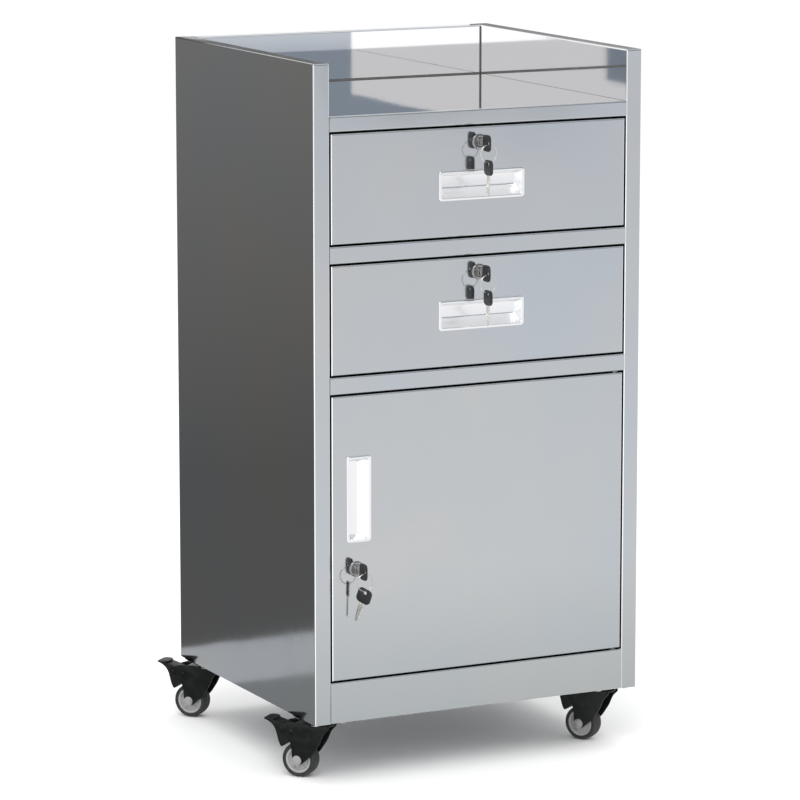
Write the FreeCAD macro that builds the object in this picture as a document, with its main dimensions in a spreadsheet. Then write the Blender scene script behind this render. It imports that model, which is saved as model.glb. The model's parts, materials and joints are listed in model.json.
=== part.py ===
import FreeCAD
import Part
import os
import Sketcher
from FreeCAD import Placement, Rotation, Vector

# Hospital bedside cabinet: folded stainless steel carcass with an open-fronted
# tray on top, two drawers over one cupboard door, and four braked castors.
# Millimetres, +Z up, front towards -Y, origin on the floor under the centre
# of the carcass.

doc = FreeCAD.newDocument("bedside_cabinet")
sheet = doc.addObject("Spreadsheet::Sheet", "sizes")

DRIVING_SIZES = {
    "width": (460, "carcass, across the two side panels"),
    "depth": (420, "carcass, front plane to back skin"),
    "overall_height": (907, "floor to top rim"),
    "castor_height": (79, "floor to underside of carcass"),
    "gauge": (1.2, "steel sheet"),
    "bend": (2, "outside radius of a fold"),
    "post_width": (22, "hollow side and back walls"),
    "tray_depth": (65, "top rim down to tray floor"),
    "lip_height": (19.5, "front lip under the tray floor"),
    "weld_overlap": (17, "tray flange that is welded to the walls"),
    "front_gap": (2, "gap round each drawer front and the door"),
    "front_depth": (18, "pan depth of drawer fronts and door"),
    "front_return": (10, "inward return at the back of a pan"),
    "drawer_front_height": (137, "one drawer front"),
    "rail_height": (22, "cross rails between the fronts"),
    "plinth_height": (52.5, "plinth face under the door"),
    "castor_flange": (85, "flange that carries the castors"),
    "rear_flange": (16, "weld flange of a side panel"),
    "box_lift": (6, "drawer box above the bottom of its front"),
    "box_height": (96, "drawer box"),
    "box_length": (350, "drawer box"),
    "slide_width": (12.7, "telescopic slide, per side"),
    "slide_length": (345, "each slide member"),
    "slide_start": (3, "slides behind the rear of the fronts"),
    "slide_lift": (42, "slide centre above the drawer box floor"),
    "upright_width": (25, "channel that carries the slides"),
    "upright_inset": (20, "front channel behind the fronts"),
    "rear_upright_place": (122, "front edge of the rear channel"),
    "hardware_offset": (2, "drawer pull, right of centre"),
    "lock_offset": (3.5, "every lock, left of its pull"),
    "drawer_pull_drop": (4, "pull centre below the front's centre"),
    "lock_drop": (19.5, "drawer lock below the front's top edge"),
    "door_hardware_inset": (37, "door pull from the door's free edge"),
    "door_pull_lift": (229.5, "door pull centre above the door's bottom edge"),
    "door_lock_lift": (141, "door lock above the door's bottom edge"),
    "pull_length": (120, "recessed pull"),
    "pull_width": (38, "recessed pull"),
    "door_pull_length": (110, "recessed pull"),
    "door_pull_width": (34, "recessed pull"),
    "pull_depth": (12, "recess behind the front"),
    "pull_rim": (4, "width of the flat rim"),
    "pull_corner": (4, "corner radius of the rim"),
    "pull_proud": (1, "rim in front of the front plane"),
    "pull_slope": (4, "inward slope of three walls of the recess"),
    "pull_long_slope": (11, "inward slope of the fourth wall"),
    "pivot_inset": (9, "door pivot from the door's hinge edge"),
    "pivot_depth": (6, "door pivot behind the front plane"),
    "pin_radius": (3, "door pivot pin"),
    "bush_radius": (4, "door pivot bush"),
    "castor_side_inset": (27, "swivel axis from the side"),
    "castor_end_inset": (40, "swivel axis from the front and back"),
    "wheel_radius": (22.5, "castor wheel"),
    "wheel_width": (20, "castor wheel"),
    "castor_trail": (28, "axle behind the swivel axis"),
    "plate_length": (60, "castor plate, front to back"),
    "plate_width": (50, "castor plate, side to side"),
    "plate_thickness": (2.5, "castor plate"),
}

for row, (alias, (value, meaning)) in enumerate(DRIVING_SIZES.items(), start=1):
    sheet.set(f"A{row}", alias)
    sheet.set(f"B{row}", str(value))
    sheet.set(f"C{row}", meaning)
    sheet.setAlias(f"B{row}", alias)
doc.recompute()


class Size:
    """A length with both its number and the sheet expression it comes from."""

    def __init__(self, value, text):
        self.value = value
        self.text = text

    def __add__(self, other):
        return Size(self.value + number(other), f"({self.text} + {text(other)})")

    def __radd__(self, other):
        return Size(number(other) + self.value, f"({text(other)} + {self.text})")

    def __sub__(self, other):
        return Size(self.value - number(other), f"({self.text} - {text(other)})")

    def __rsub__(self, other):
        return Size(number(other) - self.value, f"({text(other)} - {self.text})")

    def __mul__(self, other):
        return Size(self.value * number(other), f"({self.text} * {text(other)})")

    __rmul__ = __mul__

    def __truediv__(self, other):
        return Size(self.value / number(other), f"({self.text} / {text(other)})")

    def __neg__(self):
        return Size(-self.value, f"(0 - {self.text})")


def number(value):
    return value.value if isinstance(value, Size) else value


def text(value):
    return value.text if isinstance(value, Size) else f"({value})"


def size(alias):
    return Size(DRIVING_SIZES[alias][0], f"sizes.{alias}")


def bind(thing, prop, value):
    """Bind one property of an object to the sheet."""
    thing.setExpression(prop, text(value))


# ---------------------------------------------------------------- placing

half_width = size("width") / 2
front = -size("depth") / 2
back = size("depth") / 2
top = size("overall_height")
bottom = size("castor_height")
gauge = size("gauge")
gap = size("front_gap")
skin_x = half_width - gauge
inner_x = half_width - size("post_width")
tray_z = top - size("tray_depth")
weld_z = tray_z - size("weld_overlap")
lip_z = tray_z - size("lip_height")
front_rear = front + size("front_depth")
tray_back = back - size("post_width")
upper_drawer_z = lip_z - gap - size("drawer_front_height")
rail_top = upper_drawer_z - gap
rail_bottom = rail_top - size("rail_height")
lower_drawer_z = rail_bottom - gap - size("drawer_front_height")
divider_top = lower_drawer_z - gap
divider_bottom = divider_top - size("rail_height")
door_top = divider_bottom - gap
plinth_top = bottom + size("plinth_height")
door_bottom = plinth_top + gap
front_half = inner_x - gap
box_half = inner_x - size("slide_width")
pivot_x = front_half - size("pivot_inset")
pivot_y = front + size("pivot_depth")
castor_x = half_width - size("castor_side_inset")
castor_y = back - size("castor_end_inset")
plate_bottom = bottom - size("plate_thickness")
upright_places = (front_rear + size("upright_inset"), size("rear_upright_place"))
slide_start = front_rear + size("slide_start")
SIDES = {"left": -1, "right": 1}
DRAWERS = {"upper": upper_drawer_z, "lower": lower_drawer_z}


# ---------------------------------------------------------------- helpers

parts = {}


def keep(label, thing):
    """Give a finished sub-part its name and list it for export."""
    thing.Label = label
    parts[label] = thing
    return thing


def move(thing, x=0, y=0, z=0, rotation=None):
    """Place an object, its position bound to the sheet."""
    thing.Placement = Placement(Vector(), rotation or Rotation())
    for axis, value in (("x", x), ("y", y), ("z", z)):
        bind(thing, f"Placement.Base.{axis}", value)
    return thing


def plate(x, y, z):
    """A rectangular plate between two limits along each axis."""
    box = doc.addObject("Part::Box", "plate")
    for side, (low, high) in (("Length", x), ("Width", y), ("Height", z)):
        bind(box, side, high - low)
    return move(box, x[0], y[0], z[0])


def rod(radius, length, x=0, y=0, z=0, axis="z"):
    """A round bar along +x, +y or +z from the given point."""
    turns = {"x": Rotation(Vector(0, 1, 0), 90), "y": Rotation(Vector(1, 0, 0), -90), "z": Rotation()}
    cylinder = doc.addObject("Part::Cylinder", "rod")
    bind(cylinder, "Radius", radius)
    bind(cylinder, "Height", length)
    return move(cylinder, x, y, z, turns[axis])


def fuse(pieces):
    joined = doc.addObject("Part::MultiFuse", "fold")
    joined.Shapes = pieces
    joined.Refine = True
    return joined


def group(pieces):
    """Separate solids that share one node."""
    bundle = doc.addObject("Part::Compound", "group")
    bundle.Links = pieces
    return bundle


def drill(base, tools):
    """Cut every tool out of the base."""
    cutter = tools[0]
    if len(tools) > 1:
        cutter = doc.addObject("Part::MultiFuse", "tools")
        cutter.Shapes = tools
    cut = doc.addObject("Part::Cut", "drilled")
    cut.Base = base
    cut.Tool = cutter
    return cut


def edges_on(shape, lines):
    """Numbers of the straight edges that lie on the given axis-parallel lines."""
    found = []
    for index, edge in enumerate(shape.Edges, start=1):
        ends = [vertex.Point for vertex in edge.Vertexes]
        if len(ends) != 2:
            continue
        for axis, first, second in lines:
            across = [name for name in "xyz" if name != axis]
            wanted = (number(first), number(second))
            if all(abs(getattr(end, name) - place) < 0.01
                   for end in ends for name, place in zip(across, wanted)):
                found.append(index)
    return found


def bend(base, lines, radius):
    """Round the folds of a sheet that lie on the given lines."""
    doc.recompute()
    rounded = doc.addObject("Part::Fillet", "bent")
    rounded.Base = base
    value = number(radius)
    rounded.Edges = [(index, value, value) for index in edges_on(base.Shape, lines)]
    return rounded


def new_body(name="body"):
    return doc.addObject("PartDesign::Body", name)


def draw(body, plane, offset=0):
    """A sketch on one of the body's own origin planes, moved along its normal."""
    support = [item for item in body.Origin.OriginFeatures if item.Role == plane][0]
    drawing = body.newObject("Sketcher::SketchObject", "outline")
    drawing.AttachmentSupport = [(support, "")]
    drawing.MapMode = "FlatFace"
    bind(drawing, "AttachmentOffset.Base.z", offset)
    return drawing


def hold(drawing, geometry, point, place):
    """Hold one sketch point at its distances from the sketch's origin."""
    for kind, value, axis in (("DistanceX", place[0], -2), ("DistanceY", place[1], -1)):
        if abs(number(value)) < 1e-9:
            drawing.addConstraint(Sketcher.Constraint("PointOnObject", geometry, point, axis))
            continue
        rule = Sketcher.Constraint(kind, -1, 1, geometry, point, number(value))
        index = drawing.addConstraint(rule)
        drawing.setExpression(f"Constraints[{index}]", text(value))


def polygon(drawing, corners):
    """A closed outline with straight sides."""
    count = len(corners)
    places = [Vector(number(u), number(v), 0) for u, v in corners]
    first = drawing.GeometryCount
    for index in range(count):
        drawing.addGeometry(Part.LineSegment(places[index], places[(index + 1) % count]), False)
    for index in range(count):
        after = first + (index + 1) % count
        drawing.addConstraint(Sketcher.Constraint("Coincident", first + index, 2, after, 1))
        hold(drawing, first + index, 1, corners[index])
    return drawing


def rectangle(drawing, u, v):
    return polygon(drawing, [(u[0], v[0]), (u[1], v[0]), (u[1], v[1]), (u[0], v[1])])


def circle(drawing, u, v, radius):
    geometry = drawing.addGeometry(
        Part.Circle(Vector(number(u), number(v), 0), Vector(0, 0, 1), number(radius)), False)
    hold(drawing, geometry, 3, (u, v))
    index = drawing.addConstraint(Sketcher.Constraint("Radius", geometry, number(radius)))
    drawing.setExpression(f"Constraints[{index}]", text(radius))
    return drawing


def extrude(body, kind, drawing, length, back_way=False, both_ways=False):
    """A Pad or Pocket of a sketch."""
    feature = body.newObject(f"PartDesign::{kind}", kind.lower())
    feature.Profile = drawing
    bind(feature, "Length", length)
    feature.Reversed = back_way
    feature.SideType = "Symmetric" if both_ways else "One side"
    return feature


def revolve(body, drawing, axis="V_Axis"):
    feature = body.newObject("PartDesign::Revolution", "revolution")
    feature.Profile = drawing
    feature.ReferenceAxis = (drawing, [axis])
    return feature


def soften(body, lines, radius):
    """Round body edges that lie on the given axis-parallel lines."""
    doc.recompute()
    base = body.Tip
    feature = body.newObject("PartDesign::Fillet", "fillet")
    feature.Base = (base, [f"Edge{index}" for index in edges_on(base.Shape, lines)])
    bind(feature, "Radius", radius)
    return feature


# ---------------------------------------------------------------- carcass

PLATE_SCREW = {"radius": 3, "head": 5, "head_height": 1.8, "length": 9, "across": 19, "along": 22}


def castor_screw_places(side):
    """Screw centres of both castor plates on one side, as (x, y)."""
    for end in (-1, 1):
        for along in (-1, 1):
            for across in (-1, 1):
                yield (side * castor_x + across * PLATE_SCREW["across"],
                       end * castor_y + along * PLATE_SCREW["along"])


def flange_holes(side, outer):
    """Screw holes of one side that fall in the outer or the inner flange."""
    for x, y in castor_screw_places(side):
        if (abs(x.value) > inner_x.value) == outer:
            yield rod(PLATE_SCREW["radius"], 2 * gauge, x, y, bottom - gauge / 2)


def make_side_panels():
    wall = (-half_width, -inner_x)
    inner = (-inner_x - gauge, -inner_x)
    folds = fuse([
        plate((-half_width, -skin_x), (front, back), (bottom, top)),
        plate(wall, (front, front + gauge), (bottom, top)),
        plate(inner, (front, front_rear), (bottom, weld_z)),
        plate(inner, (front, back - gauge), (weld_z, top)),
        plate(wall, (front, back), (top - gauge, top)),
        plate(wall, (front, back - gauge), (bottom, bottom + gauge)),
        plate((-skin_x, -skin_x + size("rear_flange")), (back - 2 * gauge, back - gauge),
              (bottom, top)),
    ])
    drilled = drill(folds, list(flange_holes(-1, outer=True)))
    outer_folds = [("z", -half_width, front), ("z", -half_width, back), ("z", -inner_x, front),
                   ("y", -half_width, top), ("y", -inner_x, top), ("x", front, top)]
    left = keep("left_side_panel", bend(drilled, outer_folds, size("bend")))
    right = doc.addObject("Part::Mirroring", "mirrored")
    right.Source = left
    right.Normal = Vector(1, 0, 0)
    keep("right_side_panel", right)


def make_back_panel():
    across = (-inner_x, inner_x)
    folds = fuse([
        plate((-skin_x, skin_x), (back - gauge, back), (bottom, top - gauge)),
        plate(across, (tray_back, back), (top - gauge, top)),
        plate(across, (tray_back, tray_back + gauge), (weld_z, top)),
    ])
    keep("back_panel", bend(folds, [("x", tray_back, top), ("x", back, top)], size("bend")))


def make_top_tray():
    across = (-inner_x, inner_x)
    whole = (front, tray_back)
    folds = fuse([
        plate(across, whole, (tray_z - gauge, tray_z)),
        plate(across, (front, front + gauge), (lip_z, tray_z)),
        plate(across, (front, front_rear), (lip_z, lip_z + gauge)),
        plate((-inner_x, -inner_x + gauge), whole, (weld_z, tray_z)),
        plate((inner_x - gauge, inner_x), whole, (weld_z, tray_z)),
        plate(across, (tray_back - gauge, tray_back), (weld_z, tray_z)),
    ])
    keep("top_tray", bend(folds, [("x", front, tray_z), ("x", front, lip_z)], size("bend")))


def rail_folds(low, high):
    """Front face and two flanges of a cross rail."""
    across = (-inner_x, inner_x)
    return [
        plate(across, (front, front + gauge), (low, high)),
        plate(across, (front, front_rear), (high - gauge, high)),
        plate(across, (front, front_rear), (low, low + gauge)),
    ]


def make_upper_rail():
    folds = fuse(rail_folds(rail_bottom, rail_top))
    keep("upper_rail", bend(folds, [("x", front, rail_top), ("x", front, rail_bottom)], size("bend")))


def make_divider_panel():
    partition = plate((-skin_x, skin_x), (front_rear, back - 2 * gauge),
                      (divider_top - gauge, divider_top))
    folds = fuse(rail_folds(divider_bottom, divider_top) + [partition])
    bent = bend(folds, [("x", front, divider_top), ("x", front, divider_bottom)], size("bend"))
    hole = rod(size("bush_radius"), 3 * gauge, pivot_x, pivot_y, divider_bottom - gauge)
    keep("divider_panel", drill(bent, [hole]))


def make_base_pan():
    across = (-inner_x, inner_x)
    floor = (plinth_top - gauge, plinth_top)
    foot = (bottom, bottom + gauge)
    rear = back - 2 * gauge
    folds = fuse([
        plate(across, (front, front + gauge), (bottom, plinth_top)),
        plate(across, (front, front_rear), floor),
        plate((-skin_x, skin_x), (front_rear, rear), floor),
        plate(across, (rear - gauge, rear), (bottom, plinth_top)),
        plate(across, (front, front + size("castor_flange")), foot),
        plate(across, (rear - size("castor_flange"), rear), foot),
    ])
    bent = bend(folds, [("x", front, plinth_top), ("x", front, bottom)], size("bend"))
    holes = [rod(size("bush_radius"), 3 * gauge, pivot_x, pivot_y, plinth_top - 2 * gauge)]
    for side in SIDES.values():
        holes += flange_holes(side, outer=False)
    keep("base_pan", drill(bent, holes))


# ---------------------------------------------------------------- slides

SLIDE_SCREW = {"radius": 2, "head": 4, "head_height": 1.4, "length": 6, "hole_reach": 3}
OUTER_MEMBER = {"web": 0, "half": 22.5, "depth": 10}
MIDDLE_MEMBER = {"web": 3.2, "half": 17, "depth": 6.4}
INNER_MEMBER = {"web": size("slide_width"), "half": 12, "depth": 6.2}


def slide_screw_places():
    for slide_z in (level + size("box_lift") + size("slide_lift") for level in DRAWERS.values()):
        for start in upright_places:
            yield start + size("upright_width") / 2, slide_z


def screw_holes(side):
    """Clearance holes through the slide's web and the upright's web."""
    reach = SLIDE_SCREW["hole_reach"]
    start = side * inner_x - reach
    return [rod(SLIDE_SCREW["radius"], 2 * reach, start, y, z, "x") for y, z in slide_screw_places()]


def make_slide_uprights():
    channels = []
    height = (divider_top, weld_z)
    for start in upright_places:
        end = start + size("upright_width")
        channels.append(fuse([
            plate((-inner_x - gauge, -inner_x), (start, end), height),
            plate((-skin_x, -inner_x), (start, start + gauge), height),
            plate((-skin_x, -inner_x), (end - gauge, end), height),
        ]))
        channels.append(fuse([
            plate((inner_x, inner_x + gauge), (start, end), height),
            plate((inner_x, skin_x), (start, start + gauge), height),
            plate((inner_x, skin_x), (end - gauge, end), height),
        ]))
    drilled = [drill(channel, screw_holes(-1) + screw_holes(1)) for channel in channels]
    keep("slide_uprights", group(drilled))


def channel_member(side, web, half, depth, slide_z, inward=True):
    """One C-section slide member; web is its distance in from the upright."""
    start = inner_x - web
    reach = start - depth if inward else start + depth
    web_inside = start - gauge if inward else start + gauge
    along = (slide_start, slide_start + size("slide_length"))

    def span(first, second):
        low, high = sorted((first * side, second * side), key=number)
        return low, high

    return fuse([
        plate(span(start, web_inside), along, (slide_z - half, slide_z + half)),
        plate(span(start, reach), along, (slide_z + half - gauge, slide_z + half)),
        plate(span(start, reach), along, (slide_z - half, slide_z - half + gauge)),
    ])


def make_slides(name, level):
    slide_z = level + size("box_lift") + size("slide_lift")
    outers = []
    for side in SIDES.values():
        member = channel_member(side, **OUTER_MEMBER, slide_z=slide_z)
        outers.append(drill(member, screw_holes(side)))
    keep(f"{name}_slide_outers", group(outers))
    middles = [channel_member(side, **MIDDLE_MEMBER, slide_z=slide_z) for side in SIDES.values()]
    keep(f"{name}_slide_mids", group(middles))
    inners = [channel_member(side, **INNER_MEMBER, slide_z=slide_z, inward=False) for side in SIDES.values()]
    keep(f"{name}_slide_inners", group(inners))


def make_slide_screws():
    screws = []
    for side in SIDES.values():
        for y, z in slide_screw_places():
            face = side * (inner_x - gauge)
            head_start = face if side < 0 else face - SLIDE_SCREW["head_height"]
            shank_start = face - SLIDE_SCREW["length"] if side < 0 else face
            screws.append(fuse([
                rod(SLIDE_SCREW["head"], SLIDE_SCREW["head_height"], head_start, y, z, "x"),
                rod(SLIDE_SCREW["radius"], SLIDE_SCREW["length"], shank_start, y, z, "x"),
            ]))
    keep("slide_screws", group(screws))


# ---------------------------------------------------------------- fronts

LOCK = {"flange": 10, "flange_height": 2, "flange_edge": 0.8, "barrel": 8, "bore": 5.55, "length": 17.5,
        "nut": 12, "nut_height": 4, "plug": 5.5, "proud": 2.3, "plug_length": 18.5, "tail": 3.5,
        "tail_end": 21, "keyway_half": 1.1, "keyway_reach": 4, "keyway_depth": 19.5}
CAM = {"thickness": 2, "heel": 6, "half": 5, "corner": 3, "screw": 5, "screw_height": 2}
DRAWER_LOCK = {"reach": 30, "turn": 0, "spare_yaw": 0, "spare_lean": 0}
DOOR_LOCK = {"reach": 44.5, "turn": 90, "spare_yaw": 30, "spare_lean": 20}


def front_pan(low, high, pulls, lock_place):
    """A folded pan: outer face at the front plane, sides, and inward returns."""
    body = new_body("front_pan")
    outer_x = (-front_half, front_half)
    extrude(body, "Pad", rectangle(draw(body, "XZ_Plane", -front), outer_x, (low, high)),
            size("front_depth"), back_way=True)
    corners = [("x", front, low), ("x", front, high), ("z", -front_half, front), ("z", front_half, front)]
    soften(body, corners, size("bend"))
    inside = draw(body, "XZ_Plane", -front_rear)
    rectangle(inside, (-front_half + gauge, front_half - gauge), (low + gauge, high - gauge))
    extrude(body, "Pocket", inside, size("front_depth") - gauge, back_way=True)
    ring = draw(body, "XZ_Plane", -front_rear)
    lap = gauge / 2
    rectangle(ring, (-front_half + lap, front_half - lap), (low + lap, high - lap))
    inset = size("front_return")
    rectangle(ring, (-front_half + inset, front_half - inset), (low + inset, high - inset))
    extrude(body, "Pad", ring, gauge)
    openings = draw(body, "XZ_Plane", -front)
    rectangle(openings, *pulls)
    circle(openings, *lock_place, LOCK["barrel"])
    extrude(body, "Pocket", openings, 2 * gauge)
    return body


def opening_for_pull(centre_x, centre_z, length, width, upright=False):
    """Sheet cut-out that the body of a pull passes through."""
    half_u, half_v = length / 2 - size("pull_rim"), width / 2 - size("pull_rim")
    if upright:
        half_u, half_v = half_v, half_u
    return (centre_x - half_u, centre_x + half_u), (centre_z - half_v, centre_z + half_v)


def cup_sections(u, v, inset, depth, slope, long_slope, upright):
    """Mouth and floor rectangles of a recess; one long wall slopes further than the rest."""
    mouth = ((-u + inset, u - inset), (-v + inset, v - inset))
    start = inset + slope
    if upright:
        floor = ((-u + start, u - inset - long_slope), (-v + start, v - start))
    else:
        floor = ((-u + start, u - start), (-v + inset + long_slope, v - start))
    return mouth, floor, depth


def add_loft(body, kind, sections, mouth_offset):
    """Straight-walled loft from the mouth rectangle back to the floor rectangle."""
    mouth, floor, depth = sections
    near = rectangle(draw(body, "XZ_Plane", mouth_offset), *mouth)
    far = rectangle(draw(body, "XZ_Plane", -depth), *floor)
    feature = body.newObject(f"PartDesign::{kind}Loft", "cup")
    feature.Profile = near
    feature.Sections = [far]
    feature.Ruled = True
    return feature


def make_pull(label, centre_x, centre_z, length, width, upright=False):
    """Recessed cup with a flat rim; the wall that the fingers slide down is the gentle one."""
    body = new_body("pull")
    u, v = (length / 2, width / 2) if not upright else (width / 2, length / 2)
    rim, depth, proud = size("pull_rim"), size("pull_depth"), size("pull_proud")
    extrude(body, "Pad", rectangle(draw(body, "XZ_Plane", 0), (-u, u), (-v, v)), proud)
    soften(body, [("y", x, z) for x in (-u, u) for z in (-v, v)], size("pull_corner"))
    slopes = (size("pull_slope"), size("pull_long_slope"))
    add_loft(body, "Additive", cup_sections(u, v, rim, depth, *slopes, upright), 0)
    add_loft(body, "Subtractive", cup_sections(u, v, rim + gauge, depth - gauge, *slopes, upright), proud)
    keep(label, move(body, centre_x, front, centre_z))


def make_lock_housing(label, x, z):
    """Flanged barrel with its fixing nut behind the sheet."""
    body = new_body("lock_barrel")
    profile = draw(body, "XY_Plane")
    height, edge = LOCK["flange_height"], LOCK["flange_edge"]
    polygon(profile, [(LOCK["bore"], -height), (LOCK["flange"] - edge, -height),
                      (LOCK["flange"], edge - height), (LOCK["flange"], 0),
                      (LOCK["barrel"], 0), (LOCK["barrel"], LOCK["length"]), (LOCK["bore"], LOCK["length"])])
    revolve(body, profile)
    prism = doc.addObject("Part::Prism", "nut")
    prism.Circumradius = LOCK["nut"]
    prism.Height = LOCK["nut_height"]
    prism.Placement = Placement(Vector(0, number(gauge), 0), Rotation(Vector(1, 0, 0), -90))
    nut = drill(prism, [rod(LOCK["barrel"], LOCK["length"], axis="y")])
    keep(label, move(group([body, nut]), x, front, z))


def make_lock_plug(label, x, z):
    body = new_body("lock_plug")
    profile = draw(body, "XY_Plane")
    polygon(profile, [(0, -LOCK["proud"]), (LOCK["plug"], -LOCK["proud"]),
                      (LOCK["plug"], LOCK["plug_length"]), (LOCK["tail"], LOCK["plug_length"]),
                      (LOCK["tail"], LOCK["tail_end"]), (0, LOCK["tail_end"])])
    revolve(body, profile)
    half, reach = LOCK["keyway_half"], LOCK["keyway_reach"]
    keyway = rectangle(draw(body, "XZ_Plane", LOCK["proud"]), (-half, half), (-reach, reach))
    extrude(body, "Pocket", keyway, LOCK["keyway_depth"])
    keep(label, move(body, x, front, z))


def make_lock_cam(label, x, z, reach, turn):
    """Cam plate on the tail of the plug, held by a screw; turn is about +Y."""
    thickness, heel, half = CAM["thickness"], CAM["heel"], CAM["half"]
    start = LOCK["tail_end"] - thickness
    body = new_body("cam")
    outline = rectangle(draw(body, "XZ_Plane", -start), (-heel, reach), (-half, half))
    extrude(body, "Pad", outline, thickness, back_way=True)
    soften(body, [("y", end, edge) for end in (-heel, reach) for edge in (-half, half)], CAM["corner"])
    extrude(body, "Pocket", circle(draw(body, "XZ_Plane", -start), 0, 0, LOCK["tail"]), thickness)
    screw = rod(CAM["screw"], CAM["screw_height"], y=LOCK["tail_end"], axis="y")
    pair = move(group([body, screw]), x, front, z, Rotation(Vector(0, 1, 0), turn))
    keep(label, pair)


# ---------------------------------------------------------------- keys

KEY = {"blade_half": 3.8, "blade_gauge": 2, "bow_half": 10.3, "bow_length": 19, "bow_gauge": 3,
       "bow_start": 10.5, "hole": 3, "hole_place": 14.2, "reach": 26, "tip": 3, "corner": 5}
RING = {"radius": 11, "wire": 0.8, "drop": 12.5, "play": 0.3}


def key_solids():
    """Blade and bow in the YZ plane, the bow's inner end at y = 0, blade along +Y."""
    bow = new_body("key_bow")
    outline = rectangle(draw(bow, "YZ_Plane"), (-KEY["bow_length"], 0), (-KEY["bow_half"], KEY["bow_half"]))
    extrude(bow, "Pad", outline, KEY["bow_gauge"], both_ways=True)
    soften(bow, [("x", y, z) for y in (-KEY["bow_length"], 0) for z in (-KEY["bow_half"], KEY["bow_half"])],
           KEY["corner"])
    hole = circle(draw(bow, "YZ_Plane"), -KEY["hole_place"], 0, KEY["hole"])
    extrude(bow, "Pocket", hole, 2 * KEY["bow_gauge"], both_ways=True)
    blade = new_body("key_blade")
    half = KEY["blade_half"]
    outline = draw(blade, "YZ_Plane")
    polygon(outline, [(0, -half), (KEY["reach"] - KEY["tip"], -half), (KEY["reach"], KEY["tip"] - half),
                      (KEY["reach"], half - KEY["tip"]), (KEY["reach"] - KEY["tip"], half), (0, half)])
    extrude(blade, "Pad", outline, KEY["blade_gauge"], both_ways=True)
    return [bow, blade]


def make_key(label, x, z):
    keep(label, move(group(key_solids()), x, front - KEY["bow_start"], z))


def make_key_ring(label, x, z, spare_yaw, spare_lean):
    """Split ring through the bow of the key in the lock, with a spare key on it."""
    hole_y = front - KEY["bow_start"] - KEY["hole_place"]
    ring = doc.addObject("Part::Torus", "ring")
    ring.Radius1 = RING["radius"]
    ring.Radius2 = RING["wire"]
    ring.Placement = Placement(Vector(0, 0, -RING["drop"]), Rotation(Vector(1, 0, 0), 90))
    hang_z = -RING["drop"] - RING["radius"] - KEY["hole"] + RING["wire"] + RING["play"]
    spare = group(key_solids())
    to_hole = Placement(Vector(0, KEY["hole_place"], 0), Rotation())
    hang_down = Placement(Vector(), Rotation(Vector(1, 0, 0), -90))
    lean = Rotation(Vector(0, 0, 1), spare_yaw) * Rotation(Vector(1, 0, 0), spare_lean)
    turn = Placement(Vector(0, 0, hang_z), lean)
    spare.Placement = turn * hang_down * to_hole
    keep(label, move(group([ring, spare]), x, hole_y, z))


def make_lock(name, x, z, reach, turn, spare_yaw, spare_lean):
    make_lock_housing(f"{name}_lock_housing", x, z)
    make_lock_plug(f"{name}_lock_plug", x, z)
    make_lock_cam(f"{name}_lock_cam", x, z, reach, turn)
    make_key(f"{name}_key", x, z)
    make_key_ring(f"{name}_key_ring", x, z, spare_yaw, spare_lean)


# ---------------------------------------------------------------- drawers

def make_drawer_box(label, level):
    """Five spot-welded plates: floor, two sides, front and back."""
    low = level + size("box_lift")
    floor_top = low + gauge
    walls = (floor_top, low + size("box_height"))
    along = (front_rear, front_rear + size("box_length"))
    across = (-box_half + gauge, box_half - gauge)
    keep(label, group([
        plate((-box_half, box_half), along, (low, floor_top)),
        plate((-box_half, across[0]), along, walls),
        plate((across[1], box_half), along, walls),
        plate(across, (along[0], along[0] + gauge), walls),
        plate(across, (along[1] - gauge, along[1]), walls),
    ]))


def make_drawer(name, level):
    high = level + size("drawer_front_height")
    pull_x = size("hardware_offset")
    pull_z = level + size("drawer_front_height") / 2 - size("drawer_pull_drop")
    lock = (pull_x - size("lock_offset"), high - size("lock_drop"))
    pull = (pull_x, pull_z, size("pull_length"), size("pull_width"))
    keep(f"{name}_drawer_front", front_pan(level, high, opening_for_pull(*pull), lock))
    make_pull(f"{name}_drawer_pull", *pull)
    make_drawer_box(f"{name}_drawer_box", level)
    make_slides(name, level)
    make_lock(name, *lock, **DRAWER_LOCK)


# ---------------------------------------------------------------- door

STIFFENER = {"half": 20, "depth": 12}
PIVOT_PIN = {"in_door": 10, "in_bush": 3}
BUSH = {"flange": 1, "sleeve": 2.5, "play": 0.1}


def make_door():
    pull_x = -front_half + size("door_hardware_inset")
    pull_z = door_bottom + size("door_pull_lift")
    lock = (pull_x - size("lock_offset"), door_bottom + size("door_lock_lift"))
    pull = (pull_x, pull_z, size("door_pull_length"), size("door_pull_width"), True)
    panel = front_pan(door_bottom, door_top, opening_for_pull(*pull), lock)
    holes = draw(panel, "XY_Plane", door_top + gauge)
    circle(holes, pivot_x, pivot_y, size("pin_radius"))
    extrude(panel, "Pocket", holes, door_top - door_bottom + 2 * gauge)
    keep("door_panel", panel)
    make_pull("door_pull", *pull)
    make_lock("door", *lock, **DOOR_LOCK)
    inside = front + gauge
    height = (door_bottom + gauge, door_top - gauge)
    half, depth = STIFFENER["half"], STIFFENER["depth"]
    keep("door_stiffener", fuse([
        plate((-half, half), (inside, inside + gauge), height),
        plate((-half, -half + gauge), (inside, inside + depth), height),
        plate((half - gauge, half), (inside, inside + depth), height),
    ]))
    pin, length = size("pin_radius"), PIVOT_PIN["in_door"] + PIVOT_PIN["in_bush"]
    keep("door_pivot_pins", group([
        rod(pin, length, pivot_x, pivot_y, divider_bottom - PIVOT_PIN["in_door"]),
        rod(pin, length, pivot_x, pivot_y, plinth_top - PIVOT_PIN["in_bush"]),
    ]))


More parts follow.
